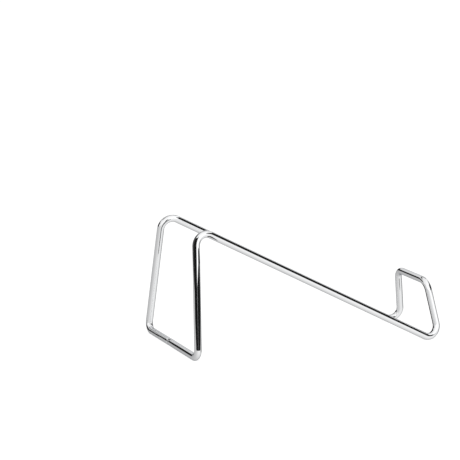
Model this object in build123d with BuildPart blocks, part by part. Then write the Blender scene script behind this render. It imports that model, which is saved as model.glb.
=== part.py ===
# One-bottle wine rack, bent from a single round wire that a butt weld closes into a loop.
# Millimetres and degrees. +Z is up, +X runs from the neck end to the rear stop, and the rack is
# symmetric about the XZ plane, but for the weld. The origin is on the floor, below the middle of
# the rack. Every position is that of the wire's centreline, and a corner is where two straight
# stretches would meet if the bend between them had no radius.

import os
from math import cos, pi, radians, sin, sqrt

from build123d import *

# Wire
wire_diameter = 5.0

# Straight stretches
foot_width = 87.0  # foot bar, corner to corner
leg_lean = 1.1  # how far the shoulders stand behind the foot bar
rail_spacing = 57.0  # between the two parallel rails
rail_length = 215.0  # shoulder corner to rear corner
rail_slope = 25.2  # below the horizontal, towards the rear
stop_rise = 44.0  # rear corner up to the stop's crossbar
stop_lean = 10.0  # how far the crossbar stands ahead of the rear corners
stop_width = 41.0  # crossbar, corner to corner

# Bend radii
foot_bend = 5.5
shoulder_bend = 8.0
rear_bend = 7.5
stop_bend = 8.0

# Butt weld in the foot bar
weld_offset = 4.5  # from the middle of the foot bar, towards +Y
weld_gap = 0.5  # between the two end faces of the wire
end_chamfer = 0.25  # on both ends, filled by the weld
weld_sink = 0.08  # how far the dressed weld lies below the wire's surface

wire_radius = wire_diameter / 2


def bend_reach(arm_a, arm_b, radius, direction):
    """How far a bend reaches along a direction, from the corner where its two arms would meet."""
    half_angle = radians(arm_a.get_angle(arm_b)) / 2
    centre = (arm_a + arm_b).normalized() * (radius / sin(half_angle))
    tilt = arm_a.cross(arm_b).normalized().dot(direction)
    return centre.dot(direction) + radius * sqrt(1 - tilt**2)


# The rear bends rest on the floor, so their corners lie a little lower than the foot bar.
rail_arm = Vector(-cos(radians(rail_slope)), 0, sin(radians(rail_slope)))
stop_arm = Vector(-stop_lean, (rail_spacing - stop_width) / 2, stop_rise).normalized()
rear_z = wire_radius + bend_reach(rail_arm, stop_arm, rear_bend, Vector(0, 0, -1))
shoulder_z = rear_z + rail_length * sin(radians(rail_slope))

# The foot bar and the rear bends are equally far from the origin.
base_length = leg_lean + rail_length * cos(radians(rail_slope))
rear_overhang = bend_reach(rail_arm, stop_arm, rear_bend, Vector(1, 0, 0))
foot_x = -(base_length + rear_overhang) / 2
rear_x = foot_x + base_length


def side_corners(side):
    """Corners of one side, from the foot bar to the stop; side is -1 or +1 along Y."""
    return [
        Vector(foot_x, side * foot_width / 2, wire_radius),
        Vector(foot_x + leg_lean, side * rail_spacing / 2, shoulder_z),
        Vector(rear_x, side * rail_spacing / 2, rear_z),
        Vector(rear_x - stop_lean, side * stop_width / 2, rear_z + stop_rise),
    ]


side_bends = [foot_bend, shoulder_bend, rear_bend, stop_bend]

os.makedirs("parts", exist_ok=True)

# Bent wire, from one end at the weld round the whole rack to the other end
first_end = Vector(foot_x, weld_offset - weld_gap / 2, wire_radius)
last_end = Vector(foot_x, weld_offset + weld_gap / 2, wire_radius)
corners = side_corners(-1) + side_corners(1)[::-1]

with BuildPart() as bent_wire:
    with BuildLine() as route:
        FilletPolyline(first_end, *corners, last_end, radius=side_bends + side_bends[::-1])
    with BuildSketch(Plane(first_end, z_dir=(0, -1, 0))):
        Circle(wire_radius)
    sweep()
    ends = bent_wire.faces().filter_by(GeomType.PLANE)
    chamfer(ends.edges(), end_chamfer)

bent_wire.part.label = "bent_wire"
export_step(bent_wire.part, "parts/bent_wire.step")

# Butt weld: a thin disc between the ends, with a rim that fills the groove of the two chamfers
groove_half_width = weld_gap / 2 + end_chamfer
groove_floor = wire_radius - end_chamfer

with BuildPart() as butt_weld:
    with BuildSketch(Plane((foot_x, weld_offset, wire_radius), x_dir=(0, 1, 0), z_dir=(1, 0, 0))):
        with BuildLine():
            rim = ThreePointArc(
                (-groove_half_width, wire_radius),
                (0, wire_radius - weld_sink),
                (groove_half_width, wire_radius),
            )
            Polyline(
                rim @ 1,
                (weld_gap / 2, groove_floor),
                (weld_gap / 2, 0),
                (-weld_gap / 2, 0),
                (-weld_gap / 2, groove_floor),
                rim @ 0,
            )
        make_face()
    revolve(axis=Axis((foot_x, weld_offset, wire_radius), (0, 1, 0)))

butt_weld.part.label = "butt_weld"
export_step(butt_weld.part, "parts/butt_weld.step")

wire_length = route.wires()[0].length
print(f"wire length {wire_length:.1f} mm, overall size {bent_wire.part.bounding_box().size}")
print(f"volume {bent_wire.part.volume:.0f}, section times length {pi * wire_radius**2 * wire_length:.0f} mm3")
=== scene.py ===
from math import ceil, cos, pi, radians, sin, sqrt, tan

import bmesh
import bpy
from mathutils import Matrix, Vector


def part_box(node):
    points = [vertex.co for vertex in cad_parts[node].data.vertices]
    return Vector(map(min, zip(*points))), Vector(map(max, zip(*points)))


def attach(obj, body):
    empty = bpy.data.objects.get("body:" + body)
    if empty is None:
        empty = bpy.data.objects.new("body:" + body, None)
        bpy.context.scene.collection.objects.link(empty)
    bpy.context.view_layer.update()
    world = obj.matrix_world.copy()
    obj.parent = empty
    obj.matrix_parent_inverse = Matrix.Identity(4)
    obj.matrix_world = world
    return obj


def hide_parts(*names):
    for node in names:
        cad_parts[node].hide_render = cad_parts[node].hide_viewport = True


# One-bottle wine rack: a chromed wire bent into a loop, and the butt weld that closes it.
# Lengths are in metres and angles in degrees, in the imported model's own frame, with +Z up and +X
# towards the rear stop. An azimuth is measured from straight ahead (-Y) towards +X.

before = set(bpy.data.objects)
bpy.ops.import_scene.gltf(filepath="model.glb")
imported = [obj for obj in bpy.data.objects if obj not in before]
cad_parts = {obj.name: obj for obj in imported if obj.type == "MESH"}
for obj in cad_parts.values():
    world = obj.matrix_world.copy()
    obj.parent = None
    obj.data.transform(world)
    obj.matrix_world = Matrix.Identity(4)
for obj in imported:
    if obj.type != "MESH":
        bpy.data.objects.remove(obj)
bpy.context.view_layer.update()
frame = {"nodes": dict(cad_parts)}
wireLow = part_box("bent_wire")[0]
weldLow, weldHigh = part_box("butt_weld")
weldMiddle = (weldLow.y + weldHigh.y) / 2
print("frame loaded:", ", ".join(frame["nodes"]))


def finishMesh(bm, name, material, smoothAngle=None):
    mesh = bpy.data.meshes.new(name)
    bmesh.ops.recalc_face_normals(bm, faces=bm.faces)
    for face in bm.faces:
        face.smooth = True
    if smoothAngle is not None:
        for edge in bm.edges:
            edge.smooth = edge.calc_face_angle(0) < radians(smoothAngle)
    bm.to_mesh(mesh)
    bm.free()
    mesh.materials.append(material)
    piece = bpy.data.objects.new(name, mesh)
    bpy.context.scene.collection.objects.link(piece)
    return piece


# A value is either a number or colour for the socket, or the output that feeds it
def addNode(tree, kind, values, **settings):
    node = tree.nodes.new(kind)
    for name, value in settings.items():
        setattr(node, name, value)
    for socket, value in values.items():
        if isinstance(value, bpy.types.NodeSocket):
            tree.links.new(value, node.inputs[socket])
        else:
            node.inputs[socket].default_value = value
    return node


def calculate(tree, operation, *values):
    return addNode(tree, "ShaderNodeMath", dict(enumerate(values)), operation=operation).outputs[0]


def remap(tree, value, fromLow, fromHigh, toLow, toHigh, shape="LINEAR"):
    values = {"Value": value, "From Min": fromLow, "From Max": fromHigh, "To Min": toLow, "To Max": toHigh}
    return addNode(tree, "ShaderNodeMapRange", values, clamp=True, interpolation_type=shape).outputs[0]


# Most of its output lies between about 0.3 and 0.7
def noise(tree, place, scale, detail, roughness=0.5):
    values = {"Vector": place, "Scale": scale, "Detail": detail, "Roughness": roughness}
    return addNode(tree, "ShaderNodeTexNoise", values).outputs[0]


def mixNumbers(tree, share, first, second):
    return addNode(tree, "ShaderNodeMix", {0: share, 2: first, 3: second}, data_type="FLOAT").outputs[0]


def mixColours(tree, share, first, second):
    return addNode(tree, "ShaderNodeMix", {0: share, 6: first, 7: second}, data_type="RGBA").outputs[2]


def newGroup(name, inputs, outputs):
    tree = bpy.data.node_groups.new(name, "ShaderNodeTree")
    tree.interface.new_socket("Vector", in_out="INPUT", socket_type="NodeSocketVector")
    for socket in inputs:
        tree.interface.new_socket(socket, in_out="INPUT", socket_type="NodeSocketFloat")
    for socket in outputs:
        tree.interface.new_socket(socket, in_out="OUTPUT", socket_type="NodeSocketFloat")
    return tree, tree.nodes.new("NodeGroupInput").outputs, tree.nodes.new("NodeGroupOutput").inputs


# Drawing lines: the fine marks that the die leaves along a drawn wire, which plating softens
def makeDrawLines():
    tree, given, result = newGroup("drawLines", ["Across", "Along"], ["Height"])
    split = addNode(tree, "ShaderNodeSeparateXYZ", {0: given["Vector"]}).outputs
    scaled = {}
    for axis, density in (("X", "Across"), ("Y", "Across"), ("Z", "Along")):
        scaled[axis] = calculate(tree, "MULTIPLY", split[axis], given[density])
    stretched = addNode(tree, "ShaderNodeCombineXYZ", scaled).outputs[0]
    tree.links.new(noise(tree, stretched, scale=1.0, detail=3.0, roughness=0.55), result["Height"])
    return tree


handling = {
    "bendScale": 160.0,  # how soon a hairline changes course
    "bendReach": 0.004,  # and how far it strays
    "patchScale": 90.0,  # how closely the scratched patches lie
    "patchFade": (0.52, 0.68),  # noise levels at which such a patch begins and is full
    "hazeFade": (0.45, 0.75),
}


# Handling marks: a few hairline scratches, and soft patches where fingers dulled the shine
def makeHandlingMarks():
    inputs = ["Scratch Density", "Scratch Width", "Haze Scale"]
    tree, given, result = newGroup("handlingMarks", inputs, ["Scratches", "Haze"])
    place = given["Vector"]
    # hairlines run along the edges of cells that are bent out of shape
    values = {"Vector": place, "Scale": handling["bendScale"], "Detail": 1.0}
    bend = addNode(tree, "ShaderNodeTexNoise", values)
    values = {0: bend.outputs["Color"], "Scale": handling["bendReach"]}
    shift = addNode(tree, "ShaderNodeVectorMath", values, operation="SCALE")
    bent = addNode(tree, "ShaderNodeVectorMath", {0: place, 1: shift.outputs[0]}, operation="ADD")
    cells = addNode(
        tree,
        "ShaderNodeTexVoronoi",
        {"Vector": bent.outputs[0], "Scale": given["Scratch Density"], "Randomness": 1.0},
        feature="DISTANCE_TO_EDGE",
    )
    hairline = remap(tree, cells.outputs["Distance"], 0.0, given["Scratch Width"], 1.0, 0.0)
    patches = noise(tree, place, handling["patchScale"], detail=2.0)
    where = remap(tree, patches, *handling["patchFade"], 0.0, 1.0)
    tree.links.new(calculate(tree, "MULTIPLY", hairline, where), result["Scratches"])
    haze = noise(tree, place, given["Haze Scale"], detail=4.0, roughness=0.6)
    tree.links.new(remap(tree, haze, *handling["hazeFade"], 0.0, 1.0), result["Haze"])
    return tree


scuffing = {
    "grainScale": 1800.0,
    "grainFade": (0.38, 0.62),  # noise levels at which a scuff begins and is full
}


# Floor scuffs: the lowest millimetre or so, where the wire slides on a table
def makeFloorScuffs():
    tree, given, result = newGroup("floorScuffs", ["Height"], ["Scuff"])
    place = given["Vector"]
    up = addNode(tree, "ShaderNodeSeparateXYZ", {0: place}).outputs["Z"]
    low = remap(tree, up, 0.0, given["Height"], 1.0, 0.0)
    grain = noise(tree, place, scuffing["grainScale"], detail=5.0, roughness=0.7)
    grain = remap(tree, grain, *scuffing["grainFade"], 0.0, 1.0)
    tree.links.new(calculate(tree, "MULTIPLY", low, grain), result["Scuff"])
    return tree


drawLines = makeDrawLines()
handlingMarks = makeHandlingMarks()
floorScuffs = makeFloorScuffs()
print("shader groups ready")

chrome = {
    "bright": (0.90, 0.905, 0.91, 1.0),  # bright chromium where the plating is thick
    "thin": (0.86, 0.865, 0.875, 1.0),  # a little greyer where it is thin
    "driftScale": 38.0,  # how fast the one turns into the other
    "edgeTint": (0.62, 0.63, 0.65, 1.0),  # tints what the plating reflects at a glancing look
    "worn": (0.42, 0.42, 0.43, 1.0),  # steel showing through the scuffs
    "wornShare": 0.5,  # how much of it shows there
    "polish": 0.03,  # roughness of untouched chrome
    "hazeRoughness": 0.05,  # added where it has been handled
    "scratchRoughness": 0.12,  # added in the hairlines
    "scuffRoughness": 0.3,  # added in the scuffs
    "rippleScale": 95.0,  # slow unevenness of the plated surface
    "rippleDepth": 0.00002,
    "lineAcross": 2600.0,  # drawing lines, how fine across the wire
    "lineAlong": 22.0,  # and how fine along it
    "lineDepth": 0.0000012,  # of drawing lines and hairlines
    "scratchDensity": 420.0,  # about how many hairlines to the metre
    "scratchWidth": 0.02,  # as a share of the distance between them
    "scratchStrength": 0.5,
    "hazeScale": 55.0,
    "scuffHeight": 0.0009,  # how far up from the table the scuffs reach
}


def makeChrome(name, look, alongAttribute=None):
    material = bpy.data.materials.new(name)
    material.use_nodes = True
    tree = material.node_tree
    link = tree.links.new
    shader = tree.nodes["Principled BSDF"].inputs
    shader["Metallic"].default_value = 1.0
    shader["Specular Tint"].default_value = look["edgeTint"]

    place = addNode(tree, "ShaderNodeTexCoord", {}).outputs["Object"]
    along = place
    if alongAttribute:
        along = addNode(tree, "ShaderNodeAttribute", {}, attribute_name=alongAttribute).outputs["Vector"]
    lineValues = {"Vector": along, "Across": look["lineAcross"], "Along": look["lineAlong"]}
    lines = addNode(tree, "ShaderNodeGroup", lineValues, node_tree=drawLines).outputs
    markValues = {
        "Vector": place,
        "Scratch Density": look["scratchDensity"],
        "Scratch Width": look["scratchWidth"],
        "Haze Scale": look["hazeScale"],
    }
    marks = addNode(tree, "ShaderNodeGroup", markValues, node_tree=handlingMarks).outputs
    scuffValues = {"Vector": place, "Height": look["scuffHeight"]}
    scuffs = addNode(tree, "ShaderNodeGroup", scuffValues, node_tree=floorScuffs).outputs

    # colour: the plating's thickness drifts slowly, and steel shows in the scuffs
    drift = noise(tree, place, look["driftScale"], detail=2.0)
    plated = mixColours(tree, drift, look["thin"], look["bright"])
    wornAmount = calculate(tree, "MULTIPLY", scuffs["Scuff"], look["wornShare"])
    link(mixColours(tree, wornAmount, plated, look["worn"]), shader["Base Color"])

    # roughness: polish, then haze, hairlines and scuffs on top
    rough = calculate(tree, "MULTIPLY_ADD", marks["Haze"], look["hazeRoughness"], look["polish"])
    rough = calculate(tree, "MULTIPLY_ADD", marks["Scratches"], look["scratchRoughness"], rough)
    rough = calculate(tree, "MULTIPLY_ADD", scuffs["Scuff"], look["scuffRoughness"], rough)
    link(rough, shader["Roughness"])

    # normal: slow ripple of the plating, then the drawing lines, then the hairlines cut into them
    ripple = noise(tree, place, look["rippleScale"], detail=1.0)
    values = {"Height": ripple, "Distance": look["rippleDepth"]}
    slow = addNode(tree, "ShaderNodeBump", values).outputs[0]
    values = {"Height": lines["Height"], "Distance": look["lineDepth"], "Normal": slow}
    fine = addNode(tree, "ShaderNodeBump", values).outputs[0]
    values = {
        "Height": marks["Scratches"],
        "Distance": look["lineDepth"],
        "Strength": look["scratchStrength"],
        "Normal": fine,
    }
    cut = addNode(tree, "ShaderNodeBump", values, invert=True).outputs[0]
    link(cut, shader["Normal"])
    return material


# the dressed weld has been ground, so it is duller and less even, and its lines are coarse and lie level
weldChrome = dict(
    chrome,
    polish=0.09,
    hazeRoughness=0.12,
    rippleScale=900.0,
    rippleDepth=0.00008,
    lineAcross=700.0,
    lineAlong=2600.0,
)
chromedWire = makeChrome("chromedWire", chrome, alongAttribute="straightWire")
chromedWeld = makeChrome("chromedWeld", weldChrome)
print("chrome ready")

wire = {
    "thickness": 0.005,
    "footWidth": 0.087,  # foot bar, corner to corner
    "legLean": 0.0011,  # how far the shoulders stand behind the foot bar
    "railSpacing": 0.057,  # between the two rails
    "railLength": 0.215,  # shoulder corner to rear corner
    "railSlope": 25.2,  # below the horizontal, towards the rear
    "stopRise": 0.044,  # rear corner up to the crossbar
    "stopLean": 0.010,  # how far the crossbar stands ahead of the rear corners
    "stopWidth": 0.041,  # crossbar, corner to corner
    "footBend": 0.0055,  # bend radii, to the middle of the wire
    "shoulderBend": 0.008,
    "rearBend": 0.0075,
    "stopBend": 0.008,
    "weldGap": 0.0005,  # between the two end faces
    "endChamfer": 0.00025,
    "chamferSteps": 3,
    "weldKink": 0.00012,  # how far one end sits above the other at the weld
    "kinkLength": 0.012,  # in which it eases back into line
    "flattening": 0.03,  # share of its thickness that the wire loses in a bend
    "sides": 64,
    "bendSteps": 30,
    "ringSpacing": 0.004,  # in the straight stretches
    "smoothAngle": 50,  # edges sharper than this stay crisp
}
wireRadius = wire["thickness"] / 2


# How far below its corner the lowest point of a bend's centreline lies
def bendDrop(armA, armB, radius):
    centre = (armA + armB).normalized() * radius / sin(armA.angle(armB) / 2)
    tilt = armA.cross(armB).normalized().z
    return radius * sqrt(1 - tilt**2) - centre.z


# Corners of one side, from the foot bar to the stop; side is -1 or +1 along Y
def sideCorners(side):
    slope = radians(wire["railSlope"])
    railArm = Vector((-cos(slope), 0, sin(slope)))
    stopIn = (wire["railSpacing"] - wire["stopWidth"]) / 2
    stopArm = Vector((-wire["stopLean"], stopIn, wire["stopRise"])).normalized()
    footX = wireLow.x + wireRadius
    footZ = wireLow.z + wireRadius
    rearX = footX + wire["legLean"] + wire["railLength"] * cos(slope)
    rearZ = footZ + bendDrop(railArm, stopArm, wire["rearBend"])
    shoulderZ = rearZ + wire["railLength"] * sin(slope)
    railY = side * wire["railSpacing"] / 2
    return [
        Vector((footX, side * wire["footWidth"] / 2, footZ)),
        Vector((footX + wire["legLean"], railY, shoulderZ)),
        Vector((rearX, railY, rearZ)),
        Vector((rearX - wire["stopLean"], side * wire["stopWidth"] / 2, rearZ + wire["stopRise"])),
    ]


# Carries the ring one step along the wire, and notes how far along the straight wire it is
def growRing(bm, ring, layer, move, distance):
    grown = bmesh.ops.extrude_edge_only(bm, edges=ring)["geom"]
    verts = {item for item in grown if isinstance(item, bmesh.types.BMVert)}
    bmesh.ops.transform(bm, matrix=move, verts=list(verts))
    for vert in verts:
        vert[layer].z = distance
    return [item for item in grown if isinstance(item, bmesh.types.BMEdge) and verts.issuperset(item.verts)]


def growStraight(bm, ring, layer, start, end, distance):
    length = (end - start).length
    steps = max(1, ceil(length / wire["ringSpacing"]))
    move = Matrix.Translation((end - start) / steps)
    for step in range(1, steps + 1):
        ring = growRing(bm, ring, layer, move, distance + length * step / steps)
    return ring, distance + length


# A bend turns the ring about its centre, and flattens it most halfway round
def growBend(bm, ring, layer, centre, axis, angle, radius, start, distance):
    steps = wire["bendSteps"]
    turn = Matrix.Rotation(angle / steps, 4, axis)
    swing = Matrix.Translation(centre) @ turn @ Matrix.Translation(-centre)
    spoke = start - centre
    thickness = 1.0
    for step in range(1, steps + 1):
        distance += radius * angle / steps
        ring = growRing(bm, ring, layer, swing, distance)
        spoke = turn.to_3x3() @ spoke
        middle = Matrix.Translation(centre + spoke)
        wanted = 1 - wire["flattening"] * sin(pi * step / steps) ** 2
        squeeze = middle @ Matrix.Scale(wanted / thickness, 4, spoke.normalized()) @ middle.inverted()
        thickness = wanted
        verts = list({vert for edge in ring for vert in edge.verts})
        bmesh.ops.transform(bm, matrix=squeeze, verts=verts)
    return ring, distance


def makeBentWire():
    corners = sideCorners(-1) + sideCorners(1)[::-1]
    radii = [wire[name] for name in ("footBend", "shoulderBend", "rearBend", "stopBend")]
    radii += radii[::-1]
    weldPlace = Vector((corners[0].x, weldMiddle, corners[0].z))
    firstEnd = weldPlace - Vector((0, wire["weldGap"] / 2, 0))
    lastEnd = weldPlace + Vector((0, wire["weldGap"] / 2, 0))

    bm = bmesh.new()
    layer = bm.verts.layers.float_vector.new("straightWire")
    verts = bmesh.ops.create_circle(bm, segments=wire["sides"], radius=wireRadius)["verts"]
    for vert in verts:
        vert[layer] = vert.co
    stand = Matrix.Translation(firstEnd) @ Matrix.Rotation(radians(90), 4, "X")
    bmesh.ops.transform(bm, matrix=stand, verts=verts)
    firstRing = list(bm.edges)

    ring, here, distance = firstRing, firstEnd, 0.0
    for corner, radius, onward in zip(corners, radii, corners[1:] + [lastEnd]):
        before = (here - corner).normalized()
        after = (onward - corner).normalized()
        half = before.angle(after) / 2
        centre = corner + (before + after).normalized() * radius / sin(half)
        start = corner + before * radius / tan(half)
        end = corner + after * radius / tan(half)
        axis = (start - centre).cross(end - centre).normalized()
        ring, distance = growStraight(bm, ring, layer, here, start, distance)
        ring, distance = growBend(bm, ring, layer, centre, axis, pi - 2 * half, radius, start, distance)
        here = end
    ring, distance = growStraight(bm, ring, layer, here, lastEnd, distance)

    # the first end sits a hair above the last, and eases back into line along the foot bar
    for vert in bm.verts:
        along = vert[layer].z
        if along < wire["kinkLength"]:
            vert.co.z += wire["weldKink"] * (1 + cos(pi * along / wire["kinkLength"])) / 2

    for end in (firstRing, ring):
        bmesh.ops.edgeloop_fill(bm, edges=end)
    bmesh.ops.bevel(
        bm,
        geom=firstRing + ring,
        offset=wire["endChamfer"],
        affect="EDGES",
        segments=wire["chamferSteps"],
        profile=0.5,
        material=-1,
    )
    print("bent wire is", round(distance, 4), "m long")
    return finishMesh(bm, "bentWire", chromedWire, smoothAngle=wire["smoothAngle"])


bentWire = makeBentWire()
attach(bentWire, "root")
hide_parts("bent_wire")

weld = {
    "sink": 0.00008,  # the dressed weld lies this far below the wire
    "rootDepth": 1.5,  # times the chamfer's: it sinks into both ends, so that no gap shows
    "rippleCount": 17,
    "rippleDepth": 0.00003,
    "sides": 96,
    "rimSteps": 8,
    "mergeDistance": 1e-7,
}


def makeButtWeld():
    # it sits halfway between the two ends of the wire, one of which is the higher
    foot = sideCorners(1)[0]
    centre = Vector((foot.x, weldMiddle, foot.z + wire["weldKink"] / 2))
    halfGap = wire["weldGap"] / 2
    halfWidth = halfGap + wire["endChamfer"]
    grooveFloor = wireRadius - wire["endChamfer"] * weld["rootDepth"]
    rimRadius = wireRadius - wire["weldKink"] / 2
    profile = [(-halfGap, 0.0), (-halfGap, grooveFloor)]
    for step in range(weld["rimSteps"] + 1):
        share = 2 * step / weld["rimSteps"] - 1
        profile.append((share * halfWidth, rimRadius - weld["sink"] * (1 - share**2)))
    profile += [(halfGap, grooveFloor), (halfGap, 0.0)]

    bm = bmesh.new()
    verts = [bm.verts.new(centre + Vector((0, along, out))) for along, out in profile]
    edges = [bm.edges.new(pair) for pair in zip(verts, verts[1:])]
    bmesh.ops.spin(
        bm,
        geom=verts + edges,
        cent=centre,
        axis=(0, 1, 0),
        angle=2 * pi,
        steps=weld["sides"],
        use_merge=True,
    )
    bmesh.ops.remove_doubles(bm, verts=bm.verts, dist=weld["mergeDistance"])
    # overlapping weld pools leave soft ripples around the rim
    for vert in bm.verts:
        out = vert.co - centre
        out.y = 0
        if out.length > wireRadius - wire["endChamfer"]:
            ripple = sin(weld["rippleCount"] * out.xz.angle_signed(Vector((0, 1)))) - 1
            vert.co += out.normalized() * weld["rippleDepth"] * ripple / 2
    return finishMesh(bm, "buttWeld", chromedWeld, smoothAngle=wire["smoothAngle"])


buttWeld = makeButtWeld()
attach(buttWeld, "root")
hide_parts("butt_weld")
print("rack ready")

floorLook = {
    "size": 40.0,
    "segments": 8,
    "colour": (0.9, 0.9, 0.9, 1.0),
    "roughness": 0.6,
    "glow": 0.63,  # a light table: what comes up through it keeps the shadows faint
}


def makeFloor():
    material = bpy.data.materials.new("paleFloor")
    material.use_nodes = True
    shader = material.node_tree.nodes["Principled BSDF"].inputs
    shader["Base Color"].default_value = floorLook["colour"]
    shader["Roughness"].default_value = floorLook["roughness"]
    shader["Specular IOR Level"].default_value = 0.0
    shader["Emission Color"].default_value = (1.0, 1.0, 1.0, 1.0)
    shader["Emission Strength"].default_value = floorLook["glow"]
    bm = bmesh.new()
    segments = floorLook["segments"]
    bmesh.ops.create_grid(bm, x_segments=segments, y_segments=segments, size=floorLook["size"] / 2)
    bmesh.ops.translate(bm, verts=bm.verts, vec=(0, 0, wireLow.z))
    return finishMesh(bm, "floor", material)


floor = makeFloor()
floor.visible_glossy = False  # the chrome reflects the world's own table instead

studio = {
    "backdrop": 1.08,  # white surround, as the view sees it
    "sky": 0.5,  # soft light from all round, as the floor sees it
    "panels": 1.0,  # the panels above the horizon, as the chrome sees them
    "panelFall": 0.24,  # how much brighter they are on the bright side than halfway round
    "table": 0.68,  # the table, as the chrome sees it
    "tableFall": 0.22,  # how much brighter it is on the bright side than halfway round
    "tableRise": 0.1,  # and how much brighter both there and opposite
    "brightSide": Vector((0.36, -0.93, 0.0)),
    "horizon": (-2, 3),  # elevations between which the table turns into the panels
    # dark gaps between the white panels, as the chrome sees them: azimuth, half width, elevation,
    # half height, softness of the edges, and the share of the light that is missing
    "gaps": [
        (72, 38, 25, 17, 3, 0.985),
        (-150, 42, 12, 12, 2, 0.985),
        (103, 42, -2, 18, 8, 0.5),
        (180, 60, 47, 7, 3, 0.9),
    ],
}


# How much of the light is left in each direction, from nearly 0 inside the gap to 1 outside it
def gapMask(tree, azimuth, elevation, gap):
    gapAzimuth, halfWidth, gapElevation, halfHeight, softness, depth = gap
    edges = []
    for angle, middle, half in ((azimuth, gapAzimuth, halfWidth), (elevation, gapElevation, halfHeight)):
        offset = calculate(tree, "SUBTRACT", angle, radians(middle))
        offset = calculate(tree, "WRAP", offset, pi, -pi)
        offset = calculate(tree, "ABSOLUTE", offset)
        inner, outer = radians(half - softness), radians(half + softness)
        edges.append(remap(tree, offset, inner, outer, 1.0, 0.0, "SMOOTHSTEP"))
    inside = calculate(tree, "MULTIPLY", *edges)
    return calculate(tree, "MULTIPLY_ADD", inside, -depth, 1.0)


def makeWorld():
    world = bpy.data.worlds.new("studio")
    bpy.context.scene.world = world
    world.use_nodes = True
    tree = world.node_tree
    background = tree.nodes["Background"].inputs
    direction = addNode(tree, "ShaderNodeTexCoord", {}).outputs["Generated"]
    split = addNode(tree, "ShaderNodeSeparateXYZ", {0: direction}).outputs
    ahead = calculate(tree, "MULTIPLY", split["Y"], -1.0)
    azimuth = calculate(tree, "ARCTAN2", split["X"], ahead)
    elevation = calculate(tree, "ARCSINE", split["Z"])

    # the table below the horizon, the panels above it, both brighter on one side
    values = {0: direction, 1: studio["brightSide"].normalized()}
    facing = addNode(tree, "ShaderNodeVectorMath", values, operation="DOT_PRODUCT").outputs["Value"]
    tableSlope = calculate(tree, "MULTIPLY_ADD", facing, studio["tableRise"], studio["tableFall"])
    table = calculate(tree, "MULTIPLY_ADD", facing, tableSlope, studio["table"])
    panels = calculate(tree, "MULTIPLY_ADD", facing, studio["panelFall"], studio["panels"])
    below, above = [radians(angle) for angle in studio["horizon"]]
    light = mixNumbers(tree, remap(tree, elevation, below, above, 0.0, 1.0, "SMOOTHSTEP"), table, panels)
    for gap in studio["gaps"]:
        light = calculate(tree, "MULTIPLY", light, gapMask(tree, azimuth, elevation, gap))

    # only reflections see all this: the floor and the view keep an even white
    rays = addNode(tree, "ShaderNodeLightPath", {}).outputs
    even = mixNumbers(tree, rays["Is Camera Ray"], studio["sky"], studio["backdrop"])
    seen = mixNumbers(tree, rays["Is Glossy Ray"], even, light)
    background["Color"].default_value = (1.0, 1.0, 1.0, 1.0)
    tree.links.new(seen, background["Strength"])


makeWorld()

softbox = {
    "power": 2.0,  # watts
    "size": 1.8,
    "place": Vector((-0.5, -1.0, 1.6)),  # from the floor below the middle of the rack, which it faces
}


# One big softbox adds a little direction to the light on the floor
def makeSoftbox():
    data = bpy.data.lights.new("softbox", "AREA")
    data.energy = softbox["power"]
    data.size = softbox["size"]
    lamp = bpy.data.objects.new("softbox", data)
    lamp.location = softbox["place"]
    lamp.rotation_euler = softbox["place"].to_track_quat("Z", "Y").to_euler()
    lamp.visible_glossy = False  # the world's panels are what the chrome reflects
    bpy.context.scene.collection.objects.link(lamp)


makeSoftbox()

flag = {
    "columns": 24,
    "rows": 16,
    "roughness": 1.0,
    "shine": 0.1,  # specular level of the felt
}
# Felt flags, which only reflections see: black ones, and paler ones where a line is grey. Each is rolled
# part of the way round one stretch of the wire, between two of that side's corners, at its own distance,
# from one azimuth to another and from one height to another. Then what lies to the left of each cut is
# taken away: a cut is a line from one point to another, each an azimuth and a height.
flagSheets = {
    "legFlagLeft": {
        "side": -1, "corners": (0, 1), "distance": 0.016, "felt": 0.012,
        "from": -94, "to": -12, "low": 0.0075, "high": 0.1,
        "cuts": [((-70, 0.006), (-94, 0.028))],
    },
    "legFlagUpper": {
        "side": -1, "corners": (0, 1), "distance": 0.016, "felt": 0.1,
        "from": -172, "to": -94, "low": 0.046, "high": 0.1,
        "cuts": [((-94, 0.046), (-172, 0.074))],
    },
    "legFlagRight": {
        "side": -1, "corners": (0, 1), "distance": 0.016, "felt": 0.014,
        "from": -12, "to": 88, "low": 0.0075, "high": 0.066,
        "cuts": [((-12, 0.0507), (29, 0.067)), ((88, 0.036), (46, 0.006))],
    },
    "legStrip": {
        "side": -1, "corners": (0, 1), "distance": 0.0155, "felt": 0.38,  # in front of two black ones
        "from": -16, "to": -6, "low": 0.0075, "high": 0.052,
        "cuts": [((-12.5, 0.0075), (-16, 0.045)), ((-6, 0.045), (-9.5, 0.0075))],
    },
    "shoulderFlag": {
        "side": -1, "corners": (0, 1), "distance": 0.016, "felt": 0.03,
        "from": 29, "to": 112, "low": 0.064, "high": 0.0765,
        "cuts": [((50, 0.0765), (112, 0.064))],
    },
    "stopFlag": {
        "side": -1, "corners": (2, 3), "distance": 0.016, "felt": 0.02,
        "from": -185, "to": -122, "low": 0.0, "high": 0.034,
        "cuts": [],
    },
    "cornerFlag": {
        "side": 1, "corners": (0, 1), "distance": 0.016, "felt": 0.02,
        "from": -140, "to": -95, "low": 0.0, "high": 0.0045,
        "cuts": [],
    },
    "footCard": {
        "side": 1, "corners": (0, 1), "distance": 0.045, "felt": 0.6,  # past the far end of the foot bar
        "from": -160, "to": -143, "low": 0.01, "high": 0.04,
        "cuts": [((-134, 0.0165), (-158, 0.0105))],
    },
}


def makeFelt(name, brightness):
    felt = bpy.data.materials.new(name)
    felt.use_nodes = True
    shader = felt.node_tree.nodes["Principled BSDF"].inputs
    shader["Base Color"].default_value = (brightness, brightness, brightness, 1.0)
    shader["Roughness"].default_value = flag["roughness"]
    shader["Specular IOR Level"].default_value = flag["shine"]
    return felt


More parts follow.
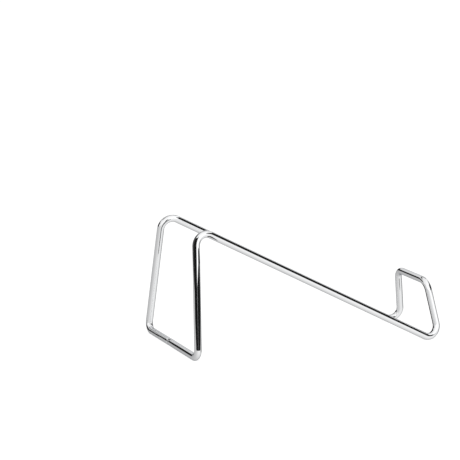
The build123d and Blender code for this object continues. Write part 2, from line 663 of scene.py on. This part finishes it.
def makeFlag(name, sheet):
    lower, upper = [sideCorners(sheet["side"])[index] for index in sheet["corners"]]
    bm = bmesh.new()
    bmesh.ops.create_grid(bm, x_segments=flag["columns"], y_segments=flag["rows"], size=0.5)
    # a sheet one unit square is laid out flat first, with azimuth along X and height along Y
    bmesh.ops.translate(bm, verts=bm.verts, vec=(0.5, 0.5, 0))
    bmesh.ops.scale(bm, verts=bm.verts, vec=(sheet["to"] - sheet["from"], sheet["high"] - sheet["low"], 1))
    bmesh.ops.translate(bm, verts=bm.verts, vec=(sheet["from"], sheet["low"], 0))
    for (x0, y0), (x1, y1) in sheet["cuts"]:
        bmesh.ops.bisect_plane(
            bm,
            geom=bm.verts[:] + bm.edges[:] + bm.faces[:],
            plane_co=(x0, y0, 0),
            plane_no=(y0 - y1, x1 - x0, 0),
            clear_outer=True,
        )
    # then rolled round the wire
    for vert in bm.verts:
        azimuth = radians(vert.co.x)
        up = vert.co.y
        middle = lower.lerp(upper, (up - lower.z) / (upper.z - lower.z))
        vert.co.x = middle.x + sheet["distance"] * sin(azimuth)
        vert.co.y = middle.y - sheet["distance"] * cos(azimuth)
        vert.co.z = up
    made = finishMesh(bm, name, makeFelt(name + "Felt", sheet["felt"]))
    made.visible_camera = False
    made.visible_diffuse = False
    made.visible_shadow = False
    made.visible_transmission = False
    made.visible_volume_scatter = False


for flagName, flagSheet in flagSheets.items():
    makeFlag(flagName, flagSheet)
print("light ready")

shot = {
    "azimuth": -25.09,
    "elevation": 10.81,
    "roll": 2.53,
    "distance": 1.29914,  # from what it aims at
    "lens": 148.7,  # millimetres, like the sensor
    "sensor": 36.0,
    "farEnd": 100.0,
    "aim": Vector((-0.05676, 0.0, 0.07987)),  # from the same place as the softbox's
}


def makeCamera():
    data = bpy.data.cameras.new("camera")
    data.lens = shot["lens"]
    data.sensor_width = shot["sensor"]
    data.clip_end = shot["farEnd"]
    camera = bpy.data.objects.new("camera", data)
    bpy.context.scene.collection.objects.link(camera)
    turn = Matrix.Rotation(radians(shot["azimuth"]), 4, "Z")
    tip = Matrix.Rotation(radians(90 - shot["elevation"]), 4, "X")
    roll = Matrix.Rotation(radians(shot["roll"]), 4, "Z")
    back = Matrix.Translation((0, 0, shot["distance"]))
    camera.matrix_world = Matrix.Translation(shot["aim"]) @ turn @ tip @ roll @ back
    bpy.context.scene.camera = camera


makeCamera()
bpy.context.scene.view_settings.view_transform = "Standard"  # keeps the white surround white
print("camera ready")
